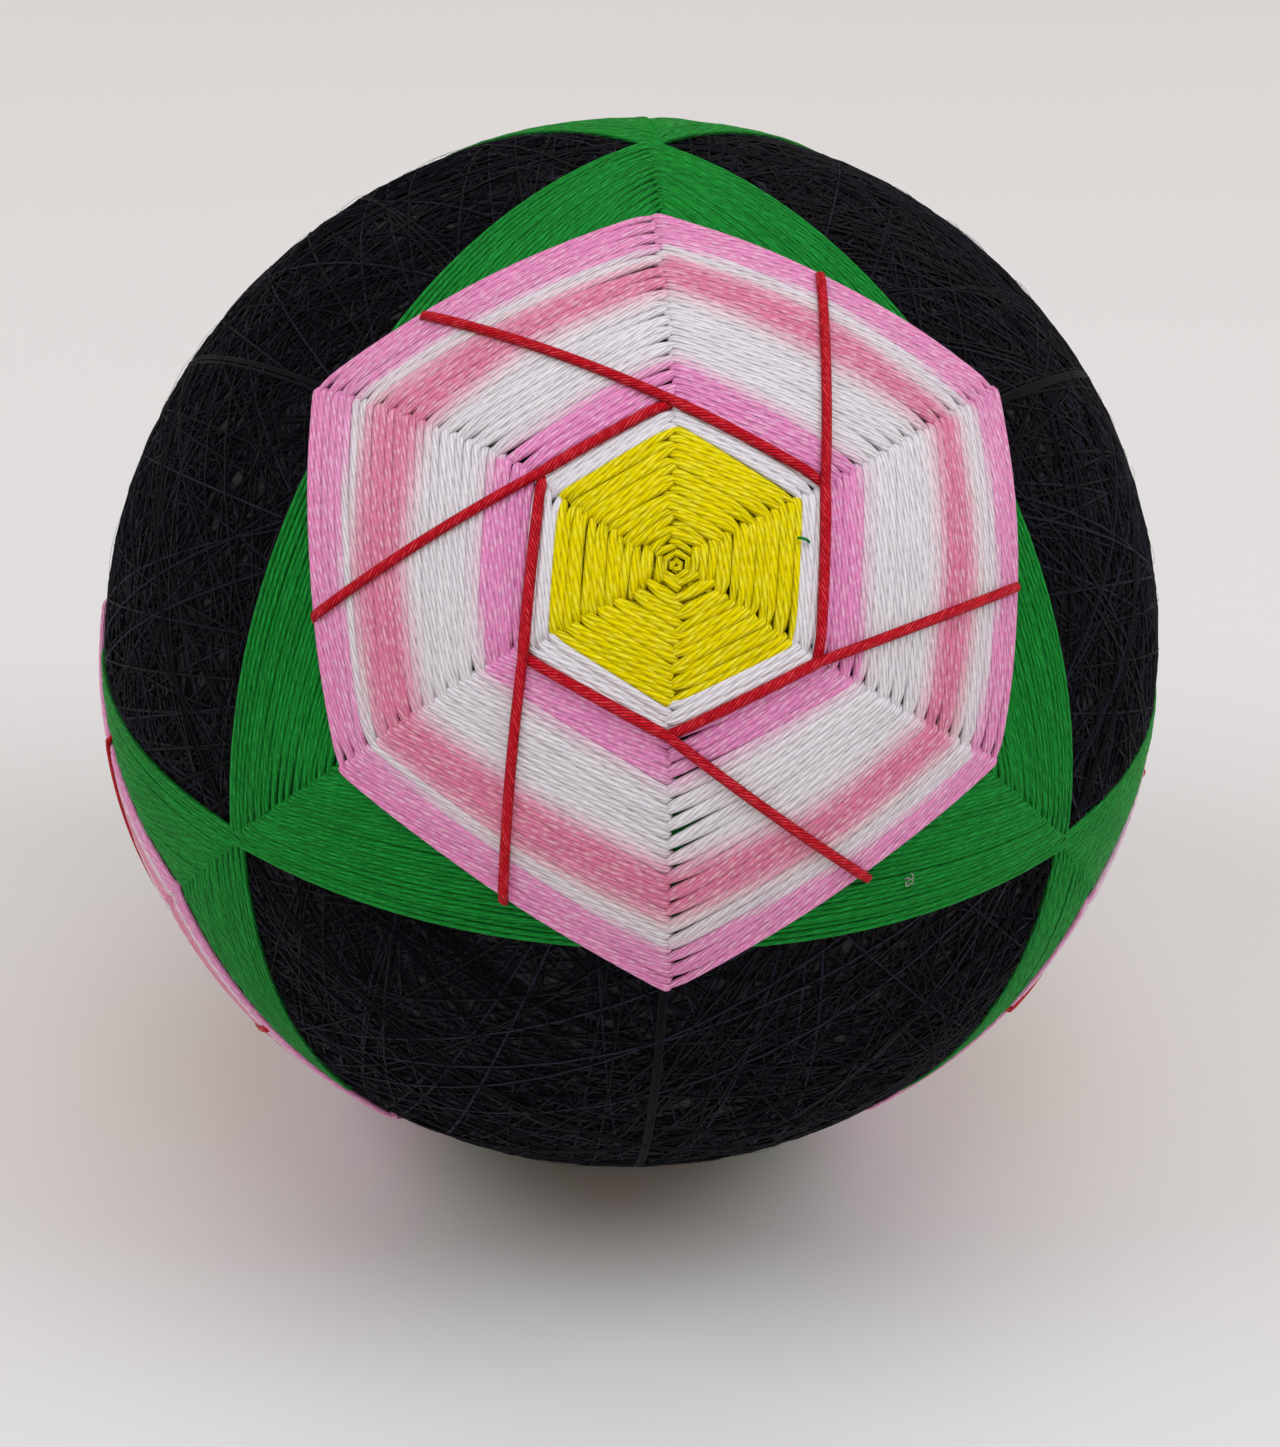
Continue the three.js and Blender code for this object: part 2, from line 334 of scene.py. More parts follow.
# Geometry Nodes that turn centre lines into threads, which lie flat on the ball
def makeThreadTree():
    tree = bpy.data.node_groups.new("threadsOnLines", "GeometryNodeTree")
    given = addSockets(tree, (("Geometry", "Geometry"), ("Half Width", "Float"),
                              ("Half Height", "Float"), ("Sides", "Int"), ("Centre", "Vector"),
                              ("Finish", "Material")), (("Geometry", "Geometry"),))
    lines = made(tree, "GeometryNodeMeshToCurve", {0: given["Geometry"]})
    place = made(tree, "GeometryNodeInputPosition")
    outward = calculate(tree, "SUBTRACT", place, given["Centre"], kind="ShaderNodeVectorMath")
    upright = made(tree, "GeometryNodeSetCurveNormal",
                   {"Curve": storeAlong(tree, lines), "Normal": outward}, mode="FREE")
    spot = addNode(tree, "ShaderNodeSeparateXYZ", {0: place}).outputs
    profile = storeValue(tree, circle(tree, given["Sides"], 1.0), "upward", spot[0])
    profile = storeValue(tree, profile, "sideward", spot[1])
    scale = made(tree, "ShaderNodeCombineXYZ", {0: given["Half Height"], 1: given["Half Width"], 2: 1.0})
    flat = made(tree, "GeometryNodeTransform", {"Geometry": profile, "Scale": scale})
    tube = sweep(tree, upright, flat, namedValue(tree, "size"))
    return finishTree(tree, tube, given["Finish"])


threadTree = makeThreadTree()


def newLines():
    return {"points": [], "edges": [], "dye": [], "strand": [], "size": []}


def addLine(lines, points, strand, dye=None, size=None):
    first = len(lines["points"])
    lines["points"] += points
    lines["edges"] += [(first + i, first + i + 1) for i in range(len(points) - 1)]
    lines["dye"] += dye or [0.0] * len(points)
    lines["size"] += size or [1.0] * len(points)
    lines["strand"] += [strand] * len(points)


def applyTree(piece, tree, inputs):
    modifier = piece.modifiers.new("threads", "NODES")
    modifier.node_group = tree
    sockets = {item.name: item.identifier for item in tree.interface.items_tree
               if item.in_out == "INPUT"}
    for label, value in inputs.items():
        modifier[sockets[label]] = value
    graph = bpy.context.evaluated_depsgraph_get()
    mesh = bpy.data.meshes.new_from_object(piece.evaluated_get(graph), preserve_all_data_layers=True,
                                           depsgraph=graph)
    piece.modifiers.remove(modifier)
    piece.data = mesh
    settleMesh(mesh)
    mesh.name = piece.name


def threadPiece(name, lines, inputs, material):
    mesh = bpy.data.meshes.new(name)
    mesh.from_pydata([ballCentre + p * mm for p in lines["points"]], lines["edges"], [])
    for label in ("dye", "strand", "size"):
        layer = mesh.attributes.new(label, "FLOAT", "POINT")
        layer.data.foreach_set("value", lines[label])
    piece = addObject(name, mesh)
    applyTree(piece, threadTree, {**inputs, "Centre": tuple(ballCentre), "Finish": material})
    return piece


def keep(piece, slot, *nodes):
    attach(piece, "root")
    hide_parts(*nodes)
    triangles = sum(len(p.vertices) - 2 for p in piece.data.polygons)
    print(piece.name, triangles, "triangles")


# places on the ball
def direction(away, around):  # degrees from the flower's middle, and clockwise round it
    a = math.radians(away)
    b = math.radians(around)
    return faceMiddle * math.cos(a) + (faceUp * math.cos(b) + faceRight * math.sin(b)) * math.sin(a)


def anglesOf(point):  # the other way round: from a point to degrees away and around
    unit = point.normalized()
    away = math.degrees(math.acos(max(-1, min(1, unit.dot(faceMiddle)))))
    around = math.degrees(math.atan2(unit.dot(faceRight), unit.dot(faceUp))) % 360
    return away, around


def sideAngle(away, around):  # degrees from the middle to the straight line through the place
    offset = math.radians((around % 60) - 30)
    return math.degrees(math.atan(math.tan(math.radians(away)) * math.cos(offset)))


def towardsTop(point):  # degrees from the middle up to the height of the point
    away, around = anglesOf(point)
    return away * math.cos(math.radians(around))


def mix(a, b, share):
    return a + (b - a) * share


def easeBetween(low, high, value):
    t = min(1, max(0, (value - low) / (high - low)))
    return t * t * (3 - 2 * t)


def seeded(settings, face, extra=0):
    return random.Random(settings["seed"] + settings["seedStep"] * list(faces).index(face) + extra)


def turnTo(face, lines, since=0):  # from the front, where all is laid out, to where it belongs
    lines["points"][since:] = [faces[face] @ p for p in lines["points"][since:]]


# How a run of thread ends at a guide line, in millimetres. It lies over its neighbour or under it,
# and "pointed" is under it in a narrow corner. squeeze is how far it leans to the next thread, from
# how far off it starts, thin how much of its thickness is left, and past how far on it goes.
stitches = {
    "samples": (-0.35, 0.0, 0.35, 0.8, 1.5, 2.6),  # where a run is sampled finely by its ends
    "over": {"squeeze": (0.02, 0.12), "reach": (0.6, 1.3), "thin": 0.92, "past": 0.55},
    "under": {"squeeze": (0.2, 0.5), "reach": (1.6, 5.2), "thin": 0.72, "past": 0.9},
    "pointed": {"squeeze": (0.3, 0.62), "reach": (1.0, 2.7), "thin": 0.6, "past": 0.7},
    "pastSpread": (-0.25, 0.3),
    "thinBetween": (0.2, 2.6),
    "closedAt": -0.3,
    # height, and the distances between which it comes; then the same for the dip, as a share of it
    "overShape": ((0.05, 2.4, 0.8), (1.0, 0.2, -0.75)),
    "underShape": ((-0.17, 1.5, -0.1), (0.5, -0.1, -1.0)),
}


def stitchEnd(rng, over, length=1.0, kind=None):
    end = stitches[kind or ("over" if over else "under")]
    return {"over": over, "squeeze": rng.uniform(*end["squeeze"]),
            "reach": rng.uniform(*end["reach"]) * length, "thin": end["thin"],
            "past": end["past"] + rng.uniform(*stitches["pastSpread"])}


def endHeight(d, end, dip):
    lift, dive = stitches["overShape" if end["over"] else "underShape"]
    return (lift[0] * easeBetween(lift[1], lift[2], d)
            - dip * dive[0] * easeBetween(dive[1], dive[2], d))


def closeUp(half, first, last, d, e):  # how far a pair's inner thread leans to the outer one
    if half == 1:
        return 0
    closed = stitches["closedAt"]
    return (first["squeeze"] * easeBetween(first["reach"], closed, d)
            + last["squeeze"] * easeBetween(last["reach"], closed, e))


# One straight run of thread over the ball between two places on neighbouring guide lines. nudge
# says how far a place is pushed towards the flower's middle and up, in millimetres, from how far it
# is from the two ends. A bulge, in degrees, bows the whole run in.
def threadRun(start, end, layer, bulge, past, nudge, spacing):
    axis = start.cross(end).normalized()
    inward = -axis
    length = start.angle(end) * layer
    places = [d for d in (-past[0], *stitches["samples"]) if -past[0] <= d < length * 0.4]
    middle = int((length - 2 * places[-1]) / spacing)
    steps = [mix(places[-1], length - places[-1], i / (middle + 1)) for i in range(1, middle + 1)]
    mirrored = [length - d for d in reversed(places)]
    mirrored[-1] = length + past[1]
    points = []
    for d in places + steps + mirrored:
        angle = d / layer
        place = start * math.cos(angle) + axis.cross(start) * math.sin(angle)
        share = min(1, max(0, d / length))
        aside, up = nudge(d, length - d)
        aside += math.radians(bulge) * 4 * share * (1 - share) * layer
        points.append((place * layer + inward * aside).normalized() * (layer + up))
    return points


def sizesOf(run, first, last):  # how thick the thread is at each point
    reached = [0.0]
    for a, b in zip(run, run[1:]):
        reached.append(reached[-1] + (b - a).length)
    thin, full = stitches["thinBetween"]
    return [mix(first["thin"], 1, easeBetween(thin, full, d))
            * mix(last["thin"], 1, easeBetween(thin, full, reached[-1] - d)) for d in reached]


# petals
petalThreads = {
    "rounds": 15,  # of a pair of threads
    "layer": 48.12,
    "innerAngles": (15.7, 16.2, 15.9, 15.7, 16.25, 15.1),
    "outerAngles": {
        "front": (38.6, 40.75, 37.9, 41.4, 37.6, 41.5),
        "right": (38.0, 39.0, 35.3, 38.8, 37.9, 41.2),
        "back": (34.4, 40.2, 37.9, 41.2, 37.6, 40.0),
        "left": (38.1, 41.3, 37.7, 40.0, 36.9, 39.9),
    },
    "innerTurn": (1.0, 1.0, 2.8, 2.6, 1.6, 2.8),  # how the guide lines wander, in degrees
    "outerTurn": (-1.8, -1.75, -2.25, -0.5, -0.5, -0.85),
    "overNext": (True, True, True, True, False, False),  # which side's ends lie over at each corner
    "gapLengths": (1.0, 0.8, 0.8, 1.5, 0.7, 0.8),
    "longGaps": {"share": 0.14, "times": 2.2},  # now and then a gap runs on between two pairs
    "bulges": (0.6, 0.35, 0.7, 0.6, 0.5, 0.6),
    "sideBow": 0.55,  # about what the bulges come to
    "edgePast": 0.36,
    "dip": 0.5,
    "drift": 0.035,  # how unevenly pairs and threads lie, in millimetres
    "loose": 0.02,
    "lift": 0.018,
    "sway": {"far": 0.025, "rate": 0.45},
    "bandShift": 0.4,  # degrees
    "spacing": 2.4,
    "pressed": {"front": 0.0, "right": 0.33, "back": 0.0, "left": 0.2},  # in millimetres
    "sunkTop": {"depth": 0.5, "from": 14, "to": 31},  # and the top of the back one, by degrees up
    "seed": 11,
    "seedStep": 97,
    "tube": {"Half Width": 0.41 * mm, "Half Height": 0.27 * mm, "Sides": 8},
}

# Where each dye ends, in degrees from the middle at each side's straight line: inner mauve, white,
# pale pink, salmon, white, outer mauve. Rows are the guide lines and the middles between them.
petalBands = (
    (17.4, 24.0, 25.2, 28.5, 30.0, 34.8), (17.6, 24.6, 26.1, 30.0, 32.1, 35.6),
    (17.5, 25.4, 26.8, 29.2, 32.1, 38.2), (17.4, 25.3, 26.2, 29.6, 32.6, 35.4),
    (17.4, 23.9, 25.0, 28.1, 30.9, 34.9), (17.4, 25.4, 26.6, 29.9, 32.2, 35.5),
    (17.3, 23.9, 25.3, 29.7, 32.6, 38.1), (17.6, 24.3, 25.3, 29.8, 31.0, 35.6),
    (17.2, 23.3, 24.6, 28.8, 29.8, 33.8), (17.9, 24.8, 25.8, 30.4, 31.7, 35.5),
    (16.9, 23.5, 24.7, 30.4, 32.1, 38.0), (17.5, 25.0, 26.4, 29.5, 31.3, 35.6),
)
innerEdge = 13.6  # where the first dye starts
bandDyes = (0.0, 0.2, 0.5, 0.56, 0.72, 0.82, 1.0)


def petalDye(away, around, shift):
    at = (around % 360) / 30
    row = int(at) % 12
    share = at - int(at)
    ends = [mix(a, b, share) + shift for a, b in zip(petalBands[row], petalBands[(row + 1) % 12])]
    ends = [innerEdge] + ends
    side = sideAngle(away, around)
    for i in range(6):
        if side < ends[i + 1] or i == 5:
            share = (side - ends[i]) / (ends[i + 1] - ends[i])
            return mix(bandDyes[i], bandDyes[i + 1], min(1, max(0, share)))


def cornerPlace(face, k, share):  # from the inmost thread at 0 to the outmost at 1
    away = mix(petalThreads["innerAngles"][k % 6], petalThreads["outerAngles"][face][k % 6], share)
    turn = mix(petalThreads["innerTurn"][k % 6], petalThreads["outerTurn"][k % 6], share)
    return direction(away, 60 * k + turn)


def sunkAt(face, point):  # how far in the top of the back flower lies
    if face != "back":
        return 0
    sunk = petalThreads["sunkTop"]
    return sunk["depth"] * easeBetween(sunk["from"], sunk["to"], towardsTop(point))


def insidePetals(face, point):  # degrees in from the petals' outer edge
    around = anglesOf(point)[1]
    within = []
    for k in range(6):
        inward = cornerPlace(face, k + 1, 1).cross(cornerPlace(face, k, 1)).normalized()
        within.append(math.degrees(math.asin(point.normalized().dot(inward))))
    return min(within) - petalThreads["sideBow"] * math.sin(math.pi * (around % 60) / 60)


def petalLines(face):
    rng = seeded(petalThreads, face)
    lines = newLines()
    threads = petalThreads["rounds"] * 2
    over = petalThreads["overNext"]
    gaps = petalThreads["gapLengths"]
    longGaps = petalThreads["longGaps"]
    drifts, looses, dip = petalThreads["drift"], petalThreads["loose"], petalThreads["dip"]
    sway = petalThreads["sway"]
    shifts = petalThreads["bandShift"]
    bandShift = 0 if face == "front" else rng.uniform(-shifts, shifts)
    for side in range(6):
        for pair in range(petalThreads["rounds"]):
            first = stitchEnd(rng, over[side], gaps[side])
            last = stitchEnd(rng, not over[(side + 1) % 6], gaps[(side + 1) % 6])
            drift = (rng.gauss(0, drifts), rng.gauss(0, drifts))
            if pair == petalThreads["rounds"] - 1:
                first["past"] = last["past"] = petalThreads["edgePast"]
            if rng.random() < longGaps["share"]:
                (first if rng.random() < 0.5 else last)["reach"] *= longGaps["times"]
            for half in range(2):
                share = (2 * pair + half + 0.5) / threads
                loose = (rng.gauss(0, looses), rng.gauss(0, looses))
                lift = rng.gauss(0, petalThreads["lift"])
                swell = rng.uniform(0, math.tau)

                def nudge(d, e):
                    along = d / (d + e)
                    aside = closeUp(half, first, last, d, e)
                    aside += mix(drift[0], drift[1], along) + mix(loose[0], loose[1], along)
                    aside += sway["far"] * math.sin(swell + d * sway["rate"])
                    return aside, lift + endHeight(d, first, dip) + endHeight(e, last, dip)

                run = threadRun(cornerPlace(face, side, share), cornerPlace(face, side + 1, share),
                                petalThreads["layer"], petalThreads["bulges"][side] * share,
                                (first["past"], last["past"]), nudge, petalThreads["spacing"])
                dyes = [petalDye(*anglesOf(point), bandShift) for point in run]
                pressed = petalThreads["pressed"][face]
                low = [point - point.normalized() * (pressed + sunkAt(face, point)) for point in run]
                addLine(lines, low, rng.random(), dyes, sizesOf(run, first, last))
    turnTo(face, lines)
    return lines


# the groove and flank values paint shade, and the streak light paints white highlights
petalFinish = {
    "surface": {"Strands": 7.0, "Turns per Metre": -95.0, "Groove Shade": 0.5, "Fibre Shade": 0.12,
                "Strand Shade": 0.08, "Thread Shade": 0.05, "Flank Shade": 0.22,
                "Streak Light": 0.34, "Base Roughness": 0.38},
    "bumpStrength": 0.7,
    "bumpHeight": 0.06 * mm,
    "shader": {"Sheen Weight": 0.05, "Sheen Roughness": 0.4, "Specular IOR Level": 0.5},
}
petalColours = (
    (0.0, (253, 146, 215)), (0.19, (253, 152, 216)), (0.21, (248, 216, 236)), (0.26, (246, 242, 251)),
    (0.46, (246, 243, 252)), (0.51, (250, 218, 233)), (0.55, (248, 176, 206)), (0.58, (244, 132, 174)),
    (0.67, (244, 134, 176)), (0.71, (247, 172, 200)), (0.74, (246, 222, 230)), (0.77, (244, 239, 249)),
    (0.81, (246, 229, 243)), (0.83, (253, 160, 217)), (1.0, (252, 142, 208)),
)
petalMaterial = threadMaterial("dyedPetalThread", petalFinish, "dye", petalColours)
for name in faces:
    piece = threadPiece("petalThreads_" + name, petalLines(name), petalThreads["tube"], petalMaterial)
    keep(piece, "petal_thread", "petal_rows_" + name)


# green triangle bands
greenThreads = {
    "rounds": 17,  # of a pair of threads
    "layer": 47.78,
    "innerAngle": 34.8,
    "outerAngle": 55.75,
    "topTurn": {"front": -0.7, "right": 0, "back": 0.7, "left": 0},  # the top tip is off its line
    "bulges": {"front": (0.0, -0.6, -1.0), "right": (-0.6, -0.6, -0.6), "back": (1.6, -0.6, 1.6),
               "left": (-0.6, -0.6, -0.6)},
    "overNext": (True, True, False),
    "gapLength": 1.5,
    "closeness": 0.8,
    "past": (0.5, 0.5),
    "dip": 0.25,
    "drift": 0.05,
    "lift": (-0.06, 0.03),  # the middle and the spread of how high the threads lie
    "sway": {"far": 0.03, "rate": 0.21},
    "spacing": 2.8,
    "loose": 0.1,
    "looseRounds": 15,  # the rounds outside this one stand off a little at the bottom of the front
    "looseGap": 0.34,
    "seed": 5,
    "seedStep": 31,
    "pressed": {"front": 0.0, "right": 0.13, "back": 0.0, "left": 0.05},
    "underPetals": 0.25,  # how far the threads are pressed in where the petals lie over them
    "petalEdge": (34.6, 33.4),  # degrees from the middle between which they start to
    "backPetalEdge": (-0.5, 0.5),  # and degrees in from the edge, on the back
    "sunkTop": {"depth": 0.08, "from": (22, 34), "to": (54, 44)},  # the top of the back, by degrees up
    "crossing": {"height": 0.25, "reach": (14, 4)},  # the one that the ball stands on is thickest
    "tube": {"Half Width": 0.275 * mm, "Half Height": 0.28 * mm, "Sides": 6},
}
# a loose end of green caught beside the yellow middle of the front
strayFibre = {"place": (11.3, 76.0), "shares": (0, 0.25, 0.5, 0.75, 1), "length": 0.7, "ball": 48,
              "outward": 1.2, "around": 3, "layer": 48.55, "rise": 0.35, "size": 0.42}


def greenDepth(face, point):  # how far in a green thread lies
    if face == "back":
        covered = easeBetween(*greenThreads["backPetalEdge"], insidePetals(face, point))
    else:
        covered = easeBetween(*greenThreads["petalEdge"], sideAngle(*anglesOf(point)))
    low = (greenThreads["underPetals"] + sunkAt(face, point)) * covered
    low += greenThreads["pressed"][face]
    if face == "back":
        sunk = greenThreads["sunkTop"]
        toTop = towardsTop(point)
        low += sunk["depth"] * easeBetween(*sunk["from"], toTop) * easeBetween(*sunk["to"], toTop)
    return low


def greenLines(face):
    rng = seeded(greenThreads, face)
    lines = newLines()
    threads = greenThreads["rounds"] * 2
    over = greenThreads["overNext"]
    drifts, gap, dip = greenThreads["drift"], greenThreads["gapLength"], greenThreads["dip"]
    sway = greenThreads["sway"]
    height, spread = greenThreads["lift"]
    for side in range(3):
        for pair in range(greenThreads["rounds"]):
            first = stitchEnd(rng, over[side], gap)
            last = stitchEnd(rng, not over[(side + 1) % 3], gap)
            drift = (rng.gauss(0, drifts), rng.gauss(0, drifts))
            loose = rng.uniform(0, greenThreads["loose"])
            if face == "front" and side == 1:
                loose = greenThreads["looseGap"]
            for half in range(2):
                share = (2 * pair + half + 0.5) / threads
                away = mix(greenThreads["innerAngle"], greenThreads["outerAngle"], share)
                swell = rng.uniform(0, math.tau)
                lift = rng.gauss(0, spread) + height

                def nudge(d, e):
                    along = d / (d + e)
                    aside = greenThreads["closeness"] * closeUp(half, first, last, d, e)
                    aside += (mix(drift[0], drift[1], along)
                              + sway["far"] * math.sin(swell + d * sway["rate"]))
                    if pair < greenThreads["looseRounds"]:
                        aside -= loose * math.sin(math.pi * min(1, max(0, along))) * share
                    return aside, lift + endHeight(d, first, dip) + endHeight(e, last, dip)

                topTurn = greenThreads["topTurn"][face] * share
                run = threadRun(direction(away, 120 * side + (topTurn if side == 0 else 0)),
                                direction(away, 120 * (side + 1) + (topTurn if side == 2 else 0)),
                                greenThreads["layer"], greenThreads["bulges"][face][side] * share,
                                greenThreads["past"], nudge, greenThreads["spacing"])
                low = [point - point.normalized() * greenDepth(face, point) for point in run]
                addLine(lines, low, rng.random())
    turnTo(face, lines)
    crossing = greenThreads["crossing"]
    far, close = (math.radians(angle) for angle in crossing["reach"])
    for i, point in enumerate(lines["points"]):
        near = easeBetween(far, close, point.angle(-tipTop))
        lines["points"][i] = point + point.normalized() * crossing["height"] * near
    if face == "front":
        away, around = strayFibre["place"]
        points = []
        for s in strayFibre["shares"]:
            reach = math.degrees(s * strayFibre["length"] / strayFibre["ball"])
            unit = direction(away + strayFibre["outward"] * reach, around + strayFibre["around"] * s)
            points.append(unit * (strayFibre["layer"] + strayFibre["rise"] * math.sin(math.pi * s)))
        addLine(lines, points, 0.5, size=[strayFibre["size"]] * len(points))
    return lines


# the groove and flank values paint shade, and the streak light paints highlights in a lighter green
greenFinish = {
    "surface": {"Colour": colour(18, 160, 54), "Strands": 5.0, "Turns per Metre": -110.0,
                "Groove Width": 0.55, "Groove Shade": 0.55, "Fibre Shade": 0.25, "Strand Shade": 0.25,
                "Thread Shade": 0.12, "Flank Shade": 0.62, "Streak Light": 0.26,
                "Streak Colour": colour(60, 190, 96)},
    "bumpStrength": 0.5,
    "bumpHeight": 0.05 * mm,
    "shader": {"Sheen Weight": 0.0, "Specular IOR Level": 0.25, "Specular Tint": (0.3, 1, 0.4, 1)},
}
greenMaterial = threadMaterial("greenThread", greenFinish)
for name in faces:
    piece = threadPiece("greenThreads_" + name, greenLines(name), greenThreads["tube"], greenMaterial)
    keep(piece, "green_thread", "green_band_" + name)


# yellow middle, in pairs of threads, and the white round about it
middleThreads = {
    "yellowCount": 16,
    "yellowOuter": (12.95, 13.05, 12.7, 12.65, 12.8, 12.3),
    "otherOuter": 12.7,  # on the other three flowers
    "whiteRounds": (1.045, 1.1, 1.155, 1.205),  # as shares of the yellow's reach
    "bed": {"deeper": 0.62, "from": 2},  # a second layer, which shows in the gaps of the first
    "turn": (0.6, 1.5, 3.3, 3.7, 2.3, 2.1),
    "layer": 48.14,
    "gapLengths": (0.5, 1.0),
    "dip": 0.5,
    "lift": 0.03,
    "bow": 0.1,
    "placeSpread": 0.08,
    "shake": (6, 0.7, 1.6),  # degrees at the middle and outside, and how soon it calms down
    "dome": 0.14,
    "dimple": {"depth": 0.35, "reach": 0.22},
    "spacing": 1.2,
    "evenWobble": 0.3,  # of the bed and the white round, where the yellow's is 1
    "seed": 3,
    "seedStep": 53,
    "tube": {"Half Width": 0.41 * mm, "Half Height": 0.28 * mm, "Sides": 8},
}


def middleLines(face, rounds, wobble, extraSeed, lines=None, deeper=0):
    rng = seeded(middleThreads, face, extraSeed)
    lines = lines or newLines()
    before = len(lines["points"])
    wild, calm, soon = middleThreads["shake"]
    dimple = middleThreads["dimple"]
    dip = middleThreads["dip"]
    for side in range(6):
        for i, share in enumerate(rounds):
            if i % 2 == 0:  # a new pair
                first = stitchEnd(rng, True, middleThreads["gapLengths"][0])
                last = stitchEnd(rng, False, middleThreads["gapLengths"][1], "pointed")
            shake = wobble * mix(wild, calm, min(1, share * soon))
            ends = []
            for k in (side, side + 1):
                outer = middleThreads["yellowOuter"][k % 6]
                if face != "front":
                    outer = middleThreads["otherOuter"]
                away = outer * share + rng.gauss(0, middleThreads["placeSpread"]) * wobble
                turn = middleThreads["turn"][k % 6] + rng.gauss(0, 1) * shake
                ends.append(direction(away, 60 * k + turn))
            lift = rng.gauss(0, middleThreads["lift"])
            lift += middleThreads["dome"] * math.sin(math.pi * min(1, share))
            lift -= dimple["depth"] * easeBetween(dimple["reach"], 0, share)
            lift -= deeper + petalThreads["pressed"][face]
            tight = min(1, share * 3)  # the smallest rounds lean and run on less
            inside = min(1, share * 4)
            bow = rng.gauss(0, middleThreads["bow"]) * wobble

            def nudge(d, e):
                aside = tight * closeUp(i % 2, first, last, d, e)
                return aside, lift + endHeight(d, first, dip) + endHeight(e, last, dip)

            run = threadRun(ends[0], ends[1], middleThreads["layer"], bow * share,
                            (first["past"] * inside, last["past"] * inside), nudge,
                            middleThreads["spacing"])
            addLine(lines, run, rng.random(), size=sizesOf(run, first, last))
    turnTo(face, lines, before)
    return lines


# the groove and flank values paint shade, and the streak light paints highlights in a paler yellow
yellowFinish = {
    "surface": {"Colour": colour(255, 238, 0), "Strands": 6.0, "Turns per Metre": -120.0,
                "Groove Width": 0.55, "Groove Shade": 0.5, "Fibre Shade": 0.12, "Strand Shade": 0.1,
                "Thread Shade": 0.06, "Flank Shade": 0.34, "Streak Light": 0.55,
                "Streak Colour": colour(255, 248, 80), "Base Roughness": 0.42},
    "bumpStrength": 0.8,
    "bumpHeight": 0.07 * mm,
    "shader": {"Sheen Weight": 0.0, "Specular IOR Level": 0.4, "Specular Tint": (1, 0.85, 0.05, 1)},
}
# the groove value and the petals' flank value paint shade, and the streak light paints white highlights
whiteFinish = {
    **petalFinish,
    "surface": {**petalFinish["surface"], "Colour": colour(246, 244, 253), "Groove Shade": 0.45,
                "Fibre Shade": 0.1, "Strand Shade": 0.06, "Streak Light": 0.25},
    "bumpStrength": 0.6,
}
yellowMaterial = threadMaterial("yellowThread", yellowFinish)
whiteMaterial = threadMaterial("whiteThread", whiteFinish)
yellowCount = middleThreads["yellowCount"]
yellowShares = [(i + 0.6) / yellowCount for i in range(yellowCount)]
bed = middleThreads["bed"]
bedShares = [(i + 1.1) / yellowCount for i in range(bed["from"], yellowCount - 1)]
calmer = middleThreads["evenWobble"]
for name in faces:
    lines = middleLines(name, yellowShares, 1.0, 0)
    middleLines(name, bedShares, calmer, 2, lines, bed["deeper"])
    piece = threadPiece("yellowThreads_" + name, lines, middleThreads["tube"], yellowMaterial)
    keep(piece, "yellow_thread", "yellow_centre_" + name)
    lines = middleLines(name, middleThreads["whiteRounds"], calmer, 1)
    piece = threadPiece("whiteThreads_" + name, lines, middleThreads["tube"], whiteMaterial)
    keep(piece, "white_thread", "white_round_" + name)


# red cords: each starts at the flower's edge, turns at a corner of the hexagon and ends at the next
redCords = {
    "outerEnds": {
        "front": ((36.6, 316.7), (35.1, 25.3), (35.25, 89.5), (35.8, 145.1), (35.9, 206.2),
                  (35.3, 262.8)),
        "right": ((35.2, 318.0), (34.6, 26.5), (33.4, 90.5), (31.8, 150.0), (35.0, 207.0),
                  (34.4, 266.0)),
        "back": ((33.4, 310.0), (31.2, 32.0), (34.4, 88.5), (35.0, 147.0), (34.8, 206.0),
                 (34.6, 265.0)),
        "left": ((35.6, 317.0), (34.2, 27.5), (34.4, 89.0), (35.2, 146.0), (34.9, 206.5),
                 (33.6, 271.6)),
    },
    "corners": ((15.35, -1.15), (15.9, -0.6), (15.5, 2.8), (15.3, 2.3), (15.95, -1.05), (14.75, 5.6)),
    "beyond": 0.3,  # degrees that an end runs on, under the surface
    "layer": 48.62,
    "spacing": 0.9,
    "bow": 0.12,
    "startDive": (1.1, 1.0),  # how deep, and over what length
    "endDive": (0.55, 1.6, 0.2),  # how deep, and between which lengths from the end
    "sag": (0.06, 0.05),  # of the outer and the inner stretch
    "startSize": (0.7, 1.6),  # and over what length it grows to 1
    "innerSizes": (1.1, 1.02),
    "pressed": {"front": 0.0, "right": 0.3, "back": 0.0, "left": 0.28},
    "seed": 8,
    "seedStep": 17,
    "tube": {"Half Width": 0.42 * mm, "Half Height": 0.35 * mm, "Sides": 12},
}


